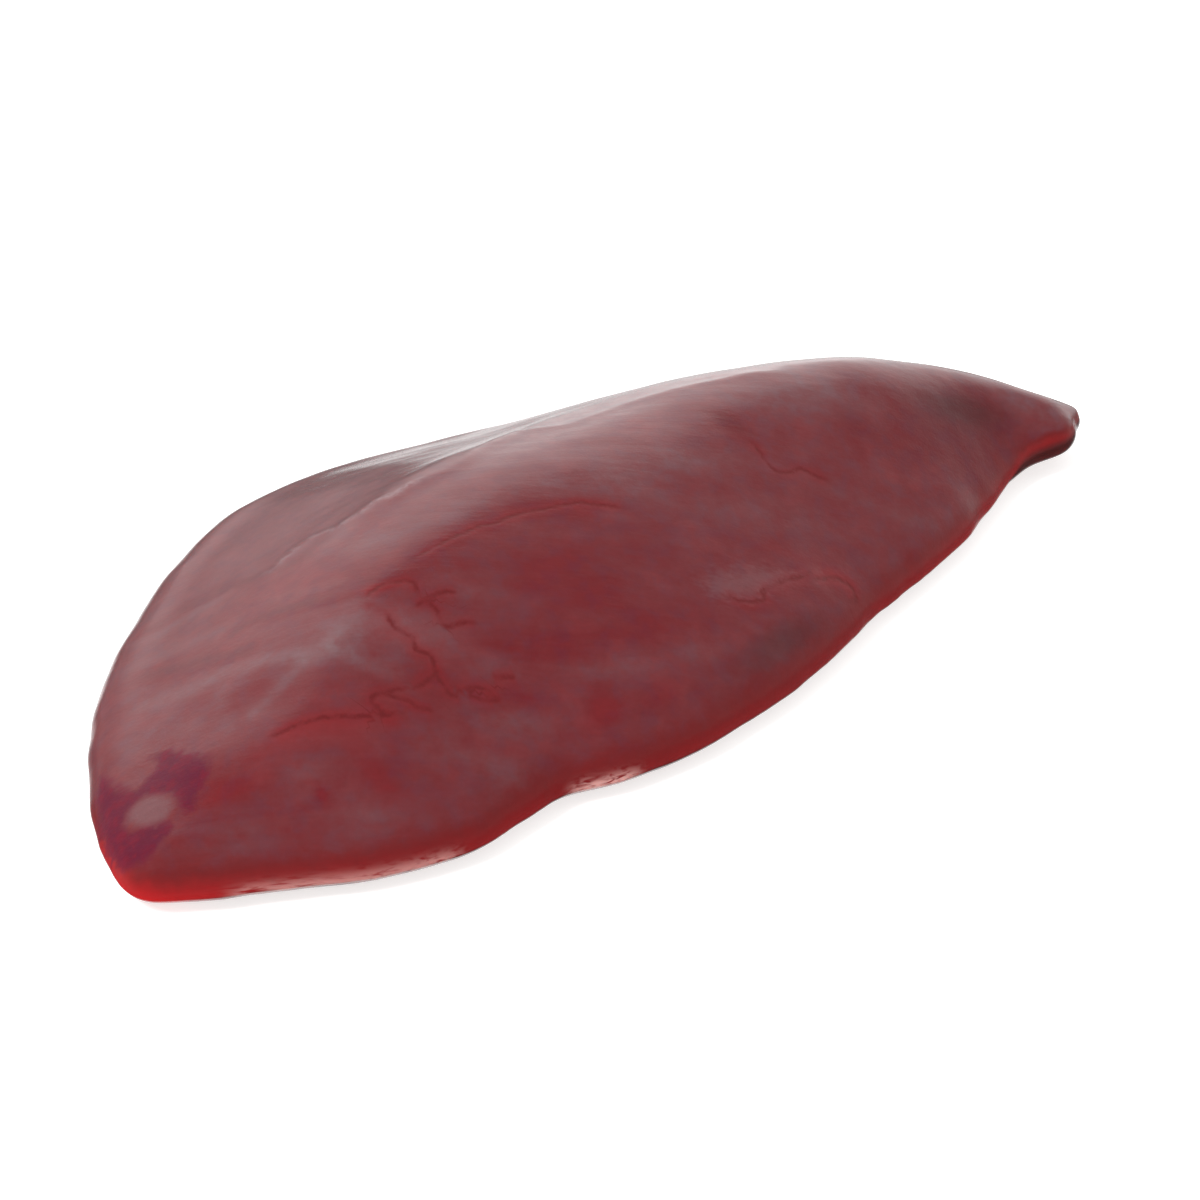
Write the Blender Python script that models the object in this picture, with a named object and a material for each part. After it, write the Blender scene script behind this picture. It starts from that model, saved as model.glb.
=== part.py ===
"""A raw horse liver, one lobe in one piece, lying on the flat of its underside.

Metres, +Z up. X runs from the broad blunt end to the thin tip and Y towards the bowed back
margin. The origin is on the table, under the middle of the lobe. The lobe is a sagging slab: a
rounded lip runs all round its margin, its underside is flat where it rests, and its top rises
from both sides to a soft crest along the lobe.
"""

import math

import bpy
import numpy as np
from mathutils import Vector, noise

MM = 0.001

# Driving dimensions, in millimetres
MARGIN_LIFT = 4.5
TIP_LIFT = 8.0
UNDERCUT_WIDTH = 9.0
TIP_UNDERCUT_WIDTH = 16.0
UNDERSIDE_SAG = 0.4
LIP_WIDTH = 9.0
TIP_LIP_WIDTH = 2.2
TIP_START = 290.0
TIP_END = 335.0
BACK_BLEND = 2.0
CREST_BLEND = 5.0
SLACK_HEIGHT = 0.8
SLACK_LENGTH = 48.0
EDGE_WANDER = 0.7
EDGE_WANDER_LENGTH = 12.0
RELIEF_START = 2.0
RELIEF_FULL = 16.0

# How steeply the top rises from its margin: the even slope at the back, in millimetres for each
# millimetre inwards, and how much less than a round dome the other sides bulge
BACK_SLOPE = 0.47
SIDE_EVENNESS = 0.3

# The lobe seen from above, in millimetres, anticlockwise from the corner of the blunt end. Its
# front side has two shallow notches, its tip is hooked, and its back side is one long bow.
OUTLINE = (
    (-3, -4), (7, -15), (24, -26), (45, -39), (68, -46), (86, -45), (100, -44), (112, -48),
    (130, -52), (155, -52), (187, -48), (212, -41), (230, -37), (252, -33), (272, -28), (291, -21),
    (306, -16), (318, -14), (333, -16), (342, -12), (349, -6), (339, 5), (328, 23), (300, 50),
    (264, 78), (221, 98), (183, 114), (149, 120), (118, 118), (85, 103), (57, 84), (37, 66),
    (20, 45), (5, 20),
)
BLUNT_FRONT_CORNER, TIP_FRONT, TIP_BACK, BLUNT_BACK_CORNER = 0.5, 18.5, 21.5, 29
BACK_SLOPE_MARGIN = OUTLINE[26:] + OUTLINE[:1]
STEPS_A_SPAN = 16

# At stations along the lobe, in millimetres: how high its crest stands, with a saddle between two
# humps, how thick its lip is, and a quarter of its width
CREST_ALONG = ((0, 43), (60, 47), (120, 48), (190, 46.3), (245, 44.7), (300, 38.8), (345, 24))
LIP_ALONG = ((0, 5), (60, 8), (110, 10.5), (170, 10.2), (240, 8), (300, 6), (345, 3))
QUARTER_WIDTH_ALONG = ((0, 34), (60, 40), (130, 44), (200, 39), (250, 31), (300, 20), (345, 10))

# Soft ridges and dips of the top, each along a line: its points, its height and half its width
RELIEF = (
    (((68, 36), (90, 41), (120, 46), (156, 50), (190, 53), (225, 46)), 1.2, 6.0),
    (((60, 62), (100, 66), (150, 70), (196, 68)), -0.8, 14.0),
    (((101, -46), (97, -28), (88, -8), (84, 14)), -1.2, 12.0),
    (((112, 12), (140, 14), (170, 6)), -0.5, 11.0),
    (((30, 14), (48, 8), (62, 0)), -0.7, 9.0),
    (((228, 30), (262, 20), (296, 12)), 0.8, 15.0),
)

# The flat spot of the underside that the lobe rests on: the middle and the size of the long
# polygon, in millimetres
FOOT_MIDDLE = (160, 30)
FOOT_LENGTH = 220.0
FOOT_WIDTH = 84.0
FOOT_CORNERS = 8

# Faces along the lobe and across it, and how far inside the margin the rings of its rounded rim
# lie, in millimetres; at the tip the rings are closer to the margin by the share given
CELLS_ALONG = 92
CELLS_ACROSS = 34
TOP_RINGS = (0.4, 1.6, 4.2, 9.0)
UNDERSIDE_RINGS = (0.8, 3.0, 9.0)
TIP_RING_SHARE = 0.33
FIRST_STEP = 0.2
STEP_LIMIT = 0.5
SLOPE_PROBE = 0.05
RELAXATIONS = 400

LIVER_RED = (0.19, 0.035, 0.038, 1)


def closed_curve(points, steps):
    """A smooth closed curve through the points, as many short straight steps to each span."""
    p = np.array(points, float)
    before, after, later = np.roll(p, 1, 0), np.roll(p, -1, 0), np.roll(p, -2, 0)
    t = (np.arange(steps) / steps)[None, :, None]
    a, b, c, d = (q[:, None, :] for q in (before, p, after, later))
    spans = 0.5 * (
        2 * b + (c - a) * t + (2 * a - 5 * b + 4 * c - d) * t**2 + (3 * b - a - 3 * c + d) * t**3
    )
    return spans.reshape(-1, 2)


def leftward(curve):
    """Unit steps square to a closed curve, towards the left of its run, which is inwards here."""
    run = np.roll(curve, -1, 0) - np.roll(curve, 1, 0)
    left = np.stack([-run[:, 1], run[:, 0]], 1)
    return left / np.linalg.norm(left, axis=1)[:, None]


def wandering(margin):
    """The margin with the small unevenness, in and out, of a soft thin edge."""
    spots = [noise.noise(Vector((x, y, 0)) / EDGE_WANDER_LENGTH) for x, y in margin]
    return margin - EDGE_WANDER * np.array(spots)[:, None] * leftward(margin)


def inwardness(points, margin):
    """How far a point lies inside the margin: its distance at first, and about a quarter of the
    width in the middle, with no crease on the way. It is the inverse of the margin's pull, which
    falls with the square of the distance and is summed exactly along each short step."""
    start = margin[None] - points[:, None]
    end = np.roll(margin, -1, 0)[None] - points[:, None]
    cross = start[..., 0] * end[..., 1] - start[..., 1] * end[..., 0]
    dot = (start * end).sum(2)
    step = np.linalg.norm(end - start, axis=2)
    cross = np.where(np.abs(cross) < 1e-9, 1e-9, cross)
    pull = (np.arctan2(cross, dot) * step / cross).sum(1)
    return math.pi / pull


def nearest_on_line(points, line):
    """How far each point is from a line of straight pieces, and how far along the line, 0 to 1."""
    line = np.array(line, float)
    start, run = line[:-1], np.diff(line, axis=0)
    length = np.linalg.norm(run, axis=1)
    travelled = np.concatenate([[0], np.cumsum(length)])
    offset = points[:, None] - start[None]
    share = np.clip((offset * run).sum(2) / length**2, 0, 1)
    distance = np.linalg.norm(offset - share[..., None] * run, axis=2)
    nearest = distance.argmin(1)
    rows = np.arange(len(points))
    along = (travelled[nearest] + share[rows, nearest] * length[nearest]) / travelled[-1]
    return distance[rows, nearest], along


def smooth_step(share):
    share = np.clip(share, 0, 1)
    return share * share * (3 - 2 * share)


def smooth_run(x, stations):
    """A smooth run through the values that the stations give, held level beyond its ends."""
    at, value = np.array(stations, float).T
    slope = np.gradient(value, at)
    k = np.clip(np.searchsorted(at, x) - 1, 0, len(at) - 2)
    span = at[k + 1] - at[k]
    t = np.clip((x - at[k]) / span, 0, 1)
    return (
        (2 * t**3 - 3 * t**2 + 1) * value[k] + (t**3 - 2 * t**2 + t) * span * slope[k]
        + (3 * t**2 - 2 * t**3) * value[k + 1] + (t**3 - t**2) * span * slope[k + 1]
    )


def lower_of(a, b, blend):
    """The lower of two heights, rounded over where they meet."""
    return -blend * np.logaddexp(-a / blend, -b / blend)


def round_over(depth, width):
    """From 0 at the margin to 1 where the depth reaches the width, along a quarter of an ellipse."""
    share = np.clip(depth / width, 0, 1)
    return np.sqrt(np.maximum(0, 1 - (1 - share) ** 2))


def soft_ridge(points, line, height, width):
    """A rounded ridge along a line, or a dip where the height is below zero. It dies out over
    the first and the last third of the line."""
    distance, along = nearest_on_line(points, line)
    fade = smooth_step(3 * along) * smooth_step(3 * (1 - along))
    return height * fade * np.exp(-((distance / width) ** 2))


def slack(points):
    """The slow unevenness of soft flesh under a loose skin."""
    spots = [noise.noise(Vector((x, y, 0)) / SLACK_LENGTH) for x, y in points]
    return SLACK_HEIGHT * np.array(spots)


def towards_tip(points, usual, at_tip):
    """A measure that goes from its usual value to another one as the lobe runs out in its tip."""
    share = smooth_step((points[:, 0] - TIP_START) / (TIP_END - TIP_START))
    return usual + (at_tip - usual) * share


def rim_height(points):
    return towards_tip(points, MARGIN_LIFT, TIP_LIFT)


def top_height(points, depth):
    x = points[:, 0]
    lip_height = smooth_run(x, LIP_ALONG)
    lip_top = rim_height(points) + lip_height * round_over(
        depth, towards_tip(points, LIP_WIDTH, TIP_LIP_WIDTH)
    )
    reach = depth / smooth_run(x, QUARTER_WIDTH_ALONG)
    swell = reach * (1 - SIDE_EVENNESS * (1 - reach))
    dome = (smooth_run(x, CREST_ALONG) - lip_height - MARGIN_LIFT) * swell
    back_slope = BACK_BLEND + BACK_SLOPE * nearest_on_line(points, BACK_SLOPE_MARGIN)[0]
    relief = slack(points) + sum(soft_ridge(points, *feature) for feature in RELIEF)
    relief_share = smooth_step((depth - RELIEF_START) / (RELIEF_FULL - RELIEF_START))
    blend = BACK_BLEND + (CREST_BLEND - BACK_BLEND) * relief_share
    return lip_top + lower_of(dome, back_slope, blend) + relief * relief_share


def underside_height(points, depth):
    undercut = round_over(depth, towards_tip(points, UNDERCUT_WIDTH, TIP_UNDERCUT_WIDTH))
    return UNDERSIDE_SAG + (rim_height(points) - UNDERSIDE_SAG) * (1 - undercut)


def rim_points(margin):
    """Even points round the margin: along the front, round the tip, along the back and down the
    blunt end, as many to each side as the grid inside has faces there."""
    count = len(margin)
    corners = (BLUNT_FRONT_CORNER, TIP_FRONT, TIP_BACK, BLUNT_BACK_CORNER)
    corners = [int(c * STEPS_A_SPAN) for c in corners]
    corners.append(corners[0] + count)
    cells = (CELLS_ALONG, CELLS_ACROSS, CELLS_ALONG, CELLS_ACROSS)
    lengths = np.linalg.norm(np.roll(margin, -1, 0) - margin, axis=1)
    travelled = np.concatenate([[0], np.cumsum(np.tile(lengths, 2))])
    stations = np.arange(2 * count + 1)
    sides = []
    for begin, finish, number in zip(corners, corners[1:], cells):
        reach = np.linspace(travelled[begin], travelled[finish], number + 1)[:-1]
        sides.append(np.interp(reach, travelled, stations))
    place = np.concatenate(sides) % count
    before = place.astype(int) % count
    share = (place - place.astype(int))[:, None]
    return margin[before] * (1 - share) + np.roll(margin, -1, 0)[before] * share


def inward_slope(points, margin):
    """Unit steps away from the margin, level with the table."""
    shift = np.array(((SLOPE_PROBE, 0), (0, SLOPE_PROBE)))
    gradient = np.stack(
        [inwardness(points + s, margin) - inwardness(points - s, margin) for s in shift], axis=1
    )
    return gradient / np.linalg.norm(gradient, axis=1)[:, None]


def inner_rings(rim, margin, depths):
    """Rings of points at the depths given, found by walking from the rim straight inwards."""
    reach = towards_tip(rim, 1, TIP_RING_SHARE)[:, None]
    point, travelled = rim + FIRST_STEP * reach * leftward(rim), FIRST_STEP
    rings = []
    for depth in depths:
        while travelled < depth - 1e-9:
            step = min(STEP_LIMIT, depth - travelled)
            point = point + step * reach * inward_slope(point, margin)
            travelled += step
        rings.append(point)
    return rings


def grid_inside(ring):
    """Points of a grid that fills the ring. They start blended from its four sides, and are then
    relaxed until the lines along and across lie evenly, without a fold."""
    along, across = CELLS_ALONG, CELLS_ACROSS
    front = ring[: along + 1]
    tip = ring[along : along + across + 1]
    back = ring[along + across : 2 * along + across + 1][::-1]
    blunt = np.concatenate([ring[2 * along + across :], ring[:1]])[::-1]
    u = np.linspace(0, 1, along + 1)[:, None, None]
    v = np.linspace(0, 1, across + 1)[None, :, None]
    grid = (
        (1 - v) * front[:, None] + v * back[:, None] + (1 - u) * blunt[None] + u * tip[None]
        - (1 - u) * (1 - v) * ring[0] - u * (1 - v) * ring[along]
        - u * v * ring[along + across] - (1 - u) * v * ring[2 * along + across]
    )
    for _ in range(RELAXATIONS):
        step_along = (grid[2:, 1:-1] - grid[:-2, 1:-1]) / 2
        step_across = (grid[1:-1, 2:] - grid[1:-1, :-2]) / 2
        twist = (grid[2:, 2:] - grid[2:, :-2] - grid[:-2, 2:] + grid[:-2, :-2]) / 4
        weight_along = (step_across**2).sum(2, keepdims=True)
        weight_across = (step_along**2).sum(2, keepdims=True)
        slant = (step_along * step_across).sum(2, keepdims=True)
        grid[1:-1, 1:-1] = (
            weight_along * (grid[2:, 1:-1] + grid[:-2, 1:-1])
            + weight_across * (grid[1:-1, 2:] + grid[1:-1, :-2]) - 2 * slant * twist
        ) / (2 * (weight_along + weight_across))
    return grid


class Skin:
    """The points and faces of the lobe's surface, added from the rim inwards."""

    def __init__(self, rim, margin):
        self.margin = margin
        self.points = list(zip(rim[:, 0], rim[:, 1], rim_height(rim)))
        self.faces = []

    def add_points(self, plan, height):
        first = len(self.points)
        depth = inwardness(plan, self.margin)
        self.points.extend(zip(plan[:, 0], plan[:, 1], height(plan, depth)))
        return list(range(first, len(self.points)))

    def add_face(self, corners, faces_down):
        corners = [int(c) for c in corners]
        self.faces.append(corners[::-1] if faces_down else corners)

    def join_rings(self, outer, inner, faces_down):
        for k in range(len(outer)):
            after = (k + 1) % len(outer)
            self.add_face((outer[k], outer[after], inner[after], inner[k]), faces_down)

    def fill_with_grid(self, ring, plan, height):
        along, across = CELLS_ALONG, CELLS_ACROSS
        index = np.full((along + 1, across + 1), -1)
        index[:, 0] = ring[: along + 1]
        index[along, :] = ring[along : along + across + 1]
        index[:, across] = ring[along + across : 2 * along + across + 1][::-1]
        index[0, :] = (ring[2 * along + across :] + ring[:1])[::-1]
        inside = grid_inside(plan)[1:-1, 1:-1].reshape(-1, 2)
        index[1:-1, 1:-1] = np.reshape(self.add_points(inside, height), (along - 1, across - 1))
        for i in range(along):
            for j in range(across):
                corners = (index[i, j], index[i + 1, j], index[i + 1, j + 1], index[i, j + 1])
                self.add_face(corners, False)

    def fill_with_foot(self, ring, plan):
        """Closes the underside with the flat polygon that the lobe rests on. Each point of the
        ring is joined to the nearest corner of the polygon."""
        angles = 2 * math.pi * np.arange(FOOT_CORNERS) / FOOT_CORNERS
        foot = np.array(FOOT_MIDDLE) + 0.5 * np.stack(
            [FOOT_LENGTH * np.cos(angles), FOOT_WIDTH * np.sin(angles)], 1
        )
        first = len(self.points)
        self.points.extend((x, y, 0.0) for x, y in foot)
        nearest = np.linalg.norm(plan[:, None] - foot[None], axis=2).argmin(1)
        for k in range(len(ring)):
            after = (k + 1) % len(ring)
            here, there = first + nearest[k], first + nearest[after]
            self.add_face((ring[k], ring[after], here), True)
            if here != there:
                self.add_face((ring[after], there, here), True)
        self.add_face(range(first, len(self.points)), True)


def build_top(skin, rim):
    outer = list(range(len(rim)))
    for plan in inner_rings(rim, skin.margin, TOP_RINGS):
        inner = skin.add_points(plan, top_height)
        skin.join_rings(outer, inner, False)
        outer = inner
    skin.fill_with_grid(outer, plan, top_height)


def build_underside(skin, rim):
    outer = list(range(len(rim)))
    for plan in inner_rings(rim, skin.margin, UNDERSIDE_RINGS):
        inner = skin.add_points(plan, underside_height)
        skin.join_rings(outer, inner, True)
        outer = inner
    skin.fill_with_foot(outer, plan)


def liver_mesh():
    margin = wandering(closed_curve(OUTLINE, STEPS_A_SPAN))
    rim = rim_points(margin)
    skin = Skin(rim, margin)
    build_top(skin, rim)
    build_underside(skin, rim)
    points = np.array(skin.points)
    middle = (points.min(0) + points.max(0)) / 2
    points[:, :2] -= middle[:2]
    mesh = bpy.data.meshes.new("liver")
    mesh.from_pydata((points * MM).tolist(), [], skin.faces)
    mesh.shade_smooth()
    return mesh


def wet_liver():
    material = bpy.data.materials.new("wet_liver")
    material.use_nodes = True
    shader = material.node_tree.nodes["Principled BSDF"]
    shader.inputs["Base Color"].default_value = LIVER_RED
    shader.inputs["Roughness"].default_value = 0.25
    shader.inputs["Metallic"].default_value = 0
    return material


def main():
    for old in list(bpy.data.objects):
        bpy.data.objects.remove(old)
    mesh = liver_mesh()
    mesh.materials.append(wet_liver())
    liver = bpy.data.objects.new("liver", mesh)
    bpy.context.scene.collection.objects.link(liver)


if __name__ == "__main__":
    main()
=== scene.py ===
"""A raw horse liver, one lobe, wet and just laid down, on a white table in soft light.

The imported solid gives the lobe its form. Here it gets its skin: the smooth capsule with its fold,
creases and puckered edge, the mottled tissue that shows through it, and the wet film on top.
Lengths are in millimetres where a name or a comment says so, and in metres otherwise.
"""

import math

import bmesh
import bpy
import numpy as np
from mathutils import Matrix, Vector, noise
from mathutils.kdtree import KDTree


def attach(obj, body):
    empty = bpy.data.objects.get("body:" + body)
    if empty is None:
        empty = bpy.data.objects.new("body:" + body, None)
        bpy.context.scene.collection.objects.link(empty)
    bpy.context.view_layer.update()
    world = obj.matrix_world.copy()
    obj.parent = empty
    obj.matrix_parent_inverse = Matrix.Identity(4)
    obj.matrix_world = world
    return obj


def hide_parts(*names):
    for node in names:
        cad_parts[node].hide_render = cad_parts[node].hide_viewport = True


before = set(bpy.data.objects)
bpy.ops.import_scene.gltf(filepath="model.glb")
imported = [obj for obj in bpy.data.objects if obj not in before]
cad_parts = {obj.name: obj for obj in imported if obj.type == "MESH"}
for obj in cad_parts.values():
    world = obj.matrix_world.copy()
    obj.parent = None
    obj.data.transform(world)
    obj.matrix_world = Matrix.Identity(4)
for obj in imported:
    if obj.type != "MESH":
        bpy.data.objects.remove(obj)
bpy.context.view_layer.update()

MM = 0.001


# The lobe: a heavy, slack slab of liver, which is tissue without grain or bone. It is one cast of
# soft flesh, so its facets are rounded off into one even skin.
WELD = 0.002 * MM
FLATTEST_JOIN = math.radians(60)
ROUNDING_LEVELS = 2


def made_plain(piece):
    """Works the modifiers of a piece into its mesh."""
    view = bpy.context.evaluated_depsgraph_get()
    mesh = bpy.data.meshes.new_from_object(
        piece.evaluated_get(view), preserve_all_data_layers=True, depsgraph=view
    )
    piece.modifiers.clear()
    piece.data = mesh


skin = bmesh.new()
skin.from_mesh(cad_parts["liver"].data)
bmesh.ops.remove_doubles(skin, verts=skin.verts, dist=WELD)
bmesh.ops.join_triangles(
    skin,
    faces=skin.faces,
    angle_face_threshold=FLATTEST_JOIN,
    angle_shape_threshold=FLATTEST_JOIN,
)
lobe_mesh = bpy.data.meshes.new("liver_lobe")
skin.to_mesh(lobe_mesh)
skin.free()
lobe_mesh.materials.clear()
lobe_mesh.shade_smooth()
lobe = bpy.data.objects.new("liver_lobe", lobe_mesh)
bpy.context.scene.collection.objects.link(lobe)
rounding = lobe.modifiers.new("rounding", "SUBSURF")
rounding.levels = ROUNDING_LEVELS
rounding.render_levels = ROUNDING_LEVELS
made_plain(lobe)

count = len(lobe.data.vertices)
position = np.empty(3 * count, np.float32)
lobe.data.vertices.foreach_get("co", position)
position = position.reshape(-1, 3) / MM
normal = np.empty(3 * count, np.float32)
lobe.data.vertices.foreach_get("normal", normal)
normal = normal.reshape(-1, 3)
plan = position[:, :2].astype(float)
faces_up = normal[:, 2] > 0


def write(name, values):
    """Gives the skin a value at each point, under a name that its nodes read."""
    attribute = lobe.data.attributes.new(name, "FLOAT", "POINT")
    attribute.data.foreach_set("value", np.asarray(values, np.float32))


# The marks of the capsule, which is the thin clear skin of a liver: two folds that stand up along
# the crest, and fine creases where the slack skin has gathered. Each is a line on the lobe seen
# from above, in millimetres from its middle.
FOLDS = (
    ((-90, 21), (-84, 19.5), (-76.5, 20.5), (-71.5, 19), (-68, 14), (-60, 12.5), (-54, 12),
     (-52.5, 9.3), (-46, 10), (-38.5, 9), (-33.5, 8.2), (-26, 10.5), (-18.6, 14), (-6, 17),
     (6, 16)),
    ((-12, 23), (-3, 18), (3.4, 13), (10, 8.5), (22, 8), (32, 7), (41, 4.5), (49.5, 1),
     (57.5, -2.7), (66.5, -6), (78, -12)),
)
CREASES = (
    ((-133, -36), (-126.5, -37.5), (-125, -38.5), (-120, -40.8), (-116, -43.5), (-108, -49),
     (-101, -52)),
    ((-88, -20.5), (-83.9, -19.8), (-80.5, -20.5), (-77.5, -22.2), (-75.4, -24.3), (-75.9, -26.5),
     (-78, -28.5)),
    ((-86.3, -26.5), (-87.3, -29.2), (-87.9, -32.1), (-87.1, -34.6), (-86.2, -37.1),
     (-87.6, -39.3), (-86.5, -41.2), (-85.7, -43.4), (-86.6, -45.3), (-87.6, -47), (-90.5, -47.5),
     (-94.1, -47.8), (-97.5, -47)),
    ((-96, -47.4), (-98.7, -46.3), (-102.3, -45.3), (-105.9, -44.5), (-107.1, -46.1),
     (-106.4, -48.2), (-109, -49.3)),
    ((-73, -18.5), (-62.5, -18.3), (-49, -19), (-43.6, -20.3), (-36, -20.9), (-28.8, -23),
     (-20.8, -25.5), (-15.8, -28.8), (-7.1, -36)),
    ((-4.5, -61.9), (-2.7, -64.2), (0.7, -66.4), (7.6, -67.8), (8.9, -65.8), (14, -65.4),
     (19, -64.8), (22.7, -65.3), (31, -64.8)),
)
SIDE_CREASES = (
    ((-80.5, -30), (-78.1, -30.5), (-74.5, -30.9), (-70.6, -31.4), (-68, -33.5)),
    ((-75.6, -30.5), (-76.1, -32.4), (-76, -34.8), (-76.8, -36.7), (-78.2, -39.5)),
    ((-78.5, -38.7), (-75.9, -39.4), (-74.3, -39.8), (-71.9, -40.7), (-69.5, -42.5)),
    ((-103.5, -44.8), (-101.7, -46.5), (-99.5, -49), (-97.8, -52), (-95, -54.5)),
    ((-87.5, -46.5), (-88, -49.1), (-88.2, -51.5), (-87.7, -53.4), (-85.8, -54.5)),
    ((-86.5, -53.2), (-83.9, -53.2), (-81.2, -53.9), (-79, -55.8), (-78.2, -59)),
    ((-84.5, -54.2), (-82.8, -55.9), (-80.2, -57.9), (-77, -59)),
    ((-75.4, -53.6), (-72.8, -55.3), (-69.6, -56.6)),
    ((43, -27), (42.9, -32.4), (42.2, -35.4), (43.2, -38.2), (47, -39.9), (51.2, -39.8),
     (54.2, -42.7), (58, -46)),
    ((27.4, -66.7), (35.7, -67.5), (39.7, -69.5), (39.2, -72.3), (35, -72.5)),
)
# How far to each side a fold and a crease are felt, and how far their lines stray to and fro
FOLD_REACH, CREASE_REACH = 16.0, 6.0
FOLD_TURNS, CREASE_TURNS = 0.5, 0.35
TURN_LENGTH = 1.7
# Blender shifts this noise by the clock unless it has a seed, and each run needs the same turns
TURN_SEED = 5
CURVE_STEPS = 6
# The share of a line over which it dies out at each end, and the share of its reach from which it
# dies out sideways
FADE_SHARE = 0.12
FULL_REACH = 0.6
# The stretch of the first fold, in points of its line, along which a highlight is painted as a pale
# line
HIGHLIGHT_POINTS, HIGHLIGHT_WIDTH = 10, 1.5
# How far blood has gathered to each side of a crease
HALO_WIDTH = 2.4

noise.seed_set(TURN_SEED)


def through(points, turns=0.0):
    """A smooth open line through the points, with small turns to and fro of the size given."""
    p = np.array(points, float)
    p = np.concatenate([2 * p[:1] - p[1:2], p, 2 * p[-1:] - p[-2:-1]])
    a, b, c, d = p[:-3], p[1:-2], p[2:-1], p[3:]
    t = (np.arange(CURVE_STEPS) / CURVE_STEPS)[None, :, None]
    a, b, c, d = (q[:, None] for q in (a, b, c, d))
    line = 0.5 * (
        2 * b + (c - a) * t + (2 * a - 5 * b + 4 * c - d) * t**2 + (3 * b - a - 3 * c + d) * t**3
    )
    line = np.concatenate([line.reshape(-1, 2), p[-2:-1]])
    steps = [noise.noise_vector(Vector((x, y, 0)) / TURN_LENGTH)[:2] for x, y in line]
    return line + turns * np.array(steps)


def beside(points, line):
    """How far each point is from a line, above zero to its left, and how far along it lies."""
    start, run = line[:-1], np.diff(line, axis=0)
    length = np.linalg.norm(run, axis=1)
    offset = points[:, None] - start[None]
    share = np.clip((offset * run).sum(2) / length**2, 0, 1)
    gap = offset - share[..., None] * run
    distance = np.linalg.norm(gap, axis=2)
    near = distance.argmin(1)
    rows = np.arange(len(points))
    side = run[near, 0] * offset[rows, near, 1] - run[near, 1] * offset[rows, near, 0]
    travelled = np.concatenate([[0], np.cumsum(length)])
    along = (travelled[near] + share[rows, near] * length[near]) / travelled[-1]
    return distance[rows, near] * np.where(side < 0, -1, 1), along


def smooth_step(value, low, high):
    share = np.clip((value - low) / (high - low), 0, 1)
    return share * share * (3 - 2 * share)


def nearest_of(lines, reach, turns=0.0):
    """For every point of the skin, the distance from the nearest of the lines, and how strong
    that line is there. It dies out at its ends and at its reach."""
    distance = np.full(count, reach)
    strength = np.zeros(count)
    for points in lines:
        line = through(points, turns)
        near = faces_up & (plan > line.min(0) - reach).all(1) & (plan < line.max(0) + reach).all(1)
        d, along = beside(plan[near], line)
        ends = smooth_step(along, 0, FADE_SHARE) * (1 - smooth_step(along, 1 - FADE_SHARE, 1))
        s = ends * (1 - smooth_step(np.abs(d), FULL_REACH * reach, reach))
        closer = np.abs(d) < np.abs(distance[near])
        chosen = np.nonzero(near)[0][closer]
        distance[chosen] = d[closer]
        strength[chosen] = s[closer]
    return distance, strength


crease_halo = np.zeros(count)
for name, lines, reach, turns in (
    ("fold", FOLDS, FOLD_REACH, FOLD_TURNS),
    ("crease", CREASES, CREASE_REACH, CREASE_TURNS),
    ("side_crease", SIDE_CREASES, CREASE_REACH, CREASE_TURNS),
):
    distance, strength = nearest_of(lines, reach, turns)
    write(name, distance)
    write(name + "_strength", strength)
    if name != "fold":
        halo = strength * np.exp(-((distance / HALO_WIDTH) ** 2))
        crease_halo = np.maximum(crease_halo, halo)
# Painted highlight along the first stretch of the first fold
distance, strength = nearest_of((FOLDS[0][:HIGHLIGHT_POINTS],), FOLD_REACH, FOLD_TURNS)
write("fold_highlight", strength * np.exp(-((distance / HIGHLIGHT_WIDTH) ** 2)))


# The margin: where top and underside meet in a thin lip, light comes through the flesh and it turns
# clear red, and that red light is painted into its colour. A pale pink band is painted along two
# stretches of the front lip, partly a pale membrane and partly a painted wet highlight.
HEMS = ((-158, -110, 0.6), (-71, -55, 1.0))
HEM_WIDTH = 1.8
HEM_FADE = 4.0
HEM_BACK = -30
# The tip overhangs, so there the skin counts as lip until it tilts down by this much, and the
# clear margin is narrower
TIP_START, TIP_FULL = 128, 142
TIP_OVERHANG = 0.35
TIP_NARROWING = 1.8
# The underside is painted in shade, in full once the skin tilts down this much past the lip
UNDERSIDE_TILT = 0.25
# The clear margin dies out towards the back, by this many millimetres
DULL_BACK = 6.0
DULL_START, DULL_FULL = -25, 5
# The front lip swells out by the round that it loses when its facets are smoothed
SWELL_REACH = 9.0
SWELL_START, SWELL_FULL = 20, 45
SWELL_TILT = 0.6
# How much light comes through the lip, at places along the lobe
BACKLIT_ALONG = (
    (-176, 1.0), (-168, 0.9), (-160, 0.6), (-150, 0.3), (-108, 0.25), (-93, 0.3), (-72, 0.12),
    (-30, 0.2), (10, 0.2), (60, 0.25), (120, 0.42), (145, 0.3), (170, 0.15),
)

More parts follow.
